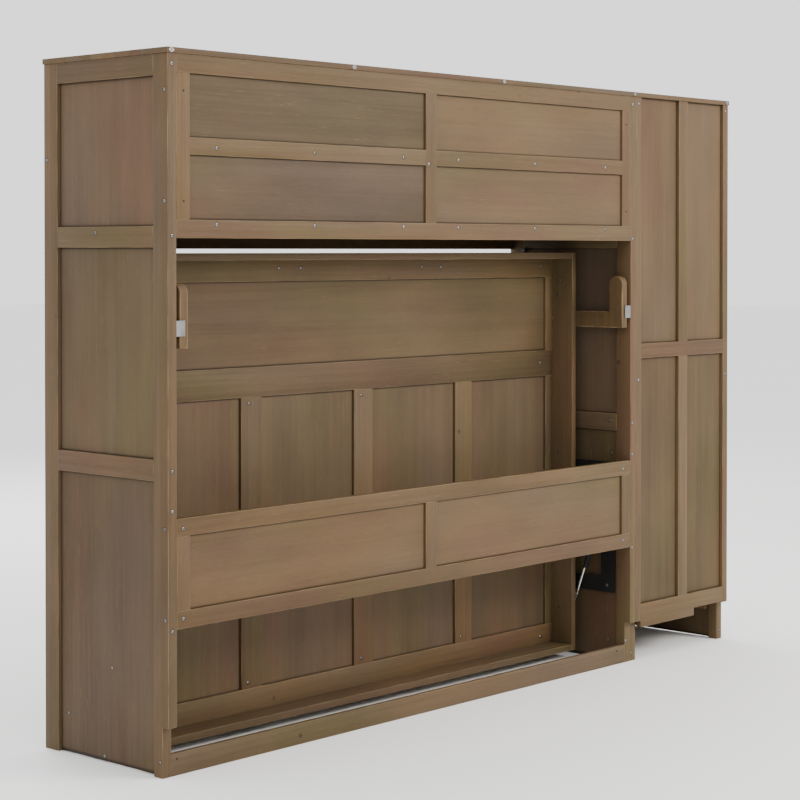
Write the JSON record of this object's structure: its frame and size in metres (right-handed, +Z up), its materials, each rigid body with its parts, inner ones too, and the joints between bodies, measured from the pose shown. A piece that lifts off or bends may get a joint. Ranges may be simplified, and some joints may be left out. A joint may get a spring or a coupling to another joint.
{
  "type": "murphy wall bed",
  "caption": "Side-tilting wall bed in a pine cabinet with an open store above, folding legs and gas struts, and a wardrobe with a door and drawer beside it.",
  "frame": {"origin": "centre of the floor rectangle under the whole object, knobs and top boards included", "axes": "+Z up, -Y towards the room (the side the bed opens to), +Y towards the wall, +X towards the end panel, away from the wardrobe"},
  "size_m": [2.7797, 0.5789, 2.0299],
  "materials": {
    "pine": "brown-grey stained pine, satin",
    "zinc": "pale zinc plate",
    "black_steel": "black powder coat",
    "bright_steel": "polished steel",
    "black_plastic": "matt black moulding"
  },
  "bodies": {
    "cabinet": {"end_panel": "pine", "partition_panel": "pine", "top_board": "pine", "upper_back_panel": "pine", "rear_cross_panel": "pine", "upper_bottom_board": "pine", "upper_divider": "pine", "upper_shelf_left": "pine", "upper_shelf_right": "pine", "front_header_rail": "pine", "rear_base_rail": "pine", "front_base_rail": "pine", "mechanism_plate_left": "black_steel", "mechanism_plate_right": "black_steel", "leg_keeper_left": "zinc", "leg_keeper_right": "zinc", "bed_stop_left": "black_plastic", "bed_stop_right": "black_plastic", "wardrobe_inner_side": "pine", "wardrobe_outer_side": "pine", "wardrobe_top_board": "pine", "wardrobe_back_panel": "pine", "wardrobe_bottom_board": "pine", "wardrobe_deck": "pine", "wardrobe_shelf": "pine", "wardrobe_plinth": "pine", "hanging_rail": "bright_steel", "drawer_runner_inner": "zinc", "drawer_runner_outer": "zinc", "door_hinge_lower": "zinc", "door_hinge_upper": "zinc"},
    "bed": {"bed_rail_left": "pine", "bed_rail_right": "pine", "bed_rail_top": "pine", "bed_rail_bottom": "pine", "bed_base_panel": "pine", "bed_front_panel": "pine", "bed_joist_1": "pine", "bed_joist_2": "pine", "bed_joist_3": "pine", "bed_handle_left": "black_steel", "bed_handle_right": "black_steel", "bed_pivot_bolt_left": "zinc", "bed_pivot_bolt_right": "zinc", "strut_stud_left": "black_steel", "strut_stud_right": "black_steel", "leg_bolt_left": "zinc", "leg_bolt_right": "zinc"},
    "leg_left": {"bed_leg_left": "pine"},
    "leg_right": {"bed_leg_right": "pine"},
    "barrel_left": {"strut_barrel_left": "black_steel"},
    "barrel_right": {"strut_barrel_right": "black_steel"},
    "rod_left": {"strut_rod_left": "bright_steel"},
    "rod_right": {"strut_rod_right": "bright_steel"},
    "door": {"wardrobe_door": "pine", "door_knob": "black_steel"},
    "drawer": {"drawer_box": "pine", "drawer_front": "pine", "drawer_knob": "black_steel"}
  },
  "joints": [
    {"name": "bed_fold", "type": "hinge", "parent": "cabinet", "child": "bed", "pos_m": [0.2925, -0.0735, 0.24], "axis": [1, 0, 0], "range_deg": [0, 90]},
    {"name": "leg_left_swing", "type": "hinge", "parent": "bed", "child": "leg_left", "pos_m": [1.324, -0.0155, 1.223], "axis": [1, 0, 0], "range_deg": [-180, 0]},
    {"name": "leg_right_swing", "type": "hinge", "parent": "bed", "child": "leg_right", "pos_m": [-0.739, -0.0155, 1.223], "axis": [1, 0, 0], "range_deg": [-180, 0]},
    {"name": "strut_left_tilt", "type": "hinge", "parent": "cabinet", "child": "barrel_left", "pos_m": [1.331, 0.2015, 0.6], "axis": [1, 0, 0], "range_deg": [-12.1, 0]},
    {"name": "strut_left_slide", "type": "slide", "parent": "barrel_left", "child": "rod_left", "axis": [0, 0.3405, 0.9403], "range_m": [0, 0.203]},
    {"name": "strut_right_tilt", "type": "hinge", "parent": "cabinet", "child": "barrel_right", "pos_m": [-0.746, 0.2015, 0.6], "axis": [1, 0, 0], "range_deg": [-12.1, 0]},
    {"name": "strut_right_slide", "type": "slide", "parent": "barrel_right", "child": "rod_right", "axis": [0, 0.3405, 0.9403], "range_m": [0, 0.203]},
    {"name": "door_swing", "type": "hinge", "parent": "cabinet", "child": "door", "pos_m": [-1.3535, -0.27, 1.2], "axis": [0, 0, -1], "range_deg": [0, 100]},
    {"name": "drawer_slide", "type": "slide", "parent": "cabinet", "child": "drawer", "axis": [0, -1, 0], "range_m": [0, 0.38]}
  ],
  "couplings": [
    {"joint": "leg_left_swing", "follows": "bed_fold", "ratio": -2},
    {"joint": "leg_right_swing", "follows": "bed_fold", "ratio": -2},
    {"joint": "strut_left_tilt", "follows": "bed_fold", "ratio": -0.13333},
    {"joint": "strut_left_slide", "follows": "bed_fold", "m_per_rad": 0.12888},
    {"joint": "strut_right_tilt", "follows": "bed_fold", "ratio": -0.13333},
    {"joint": "strut_right_slide", "follows": "bed_fold", "m_per_rad": 0.12888}
  ]
}
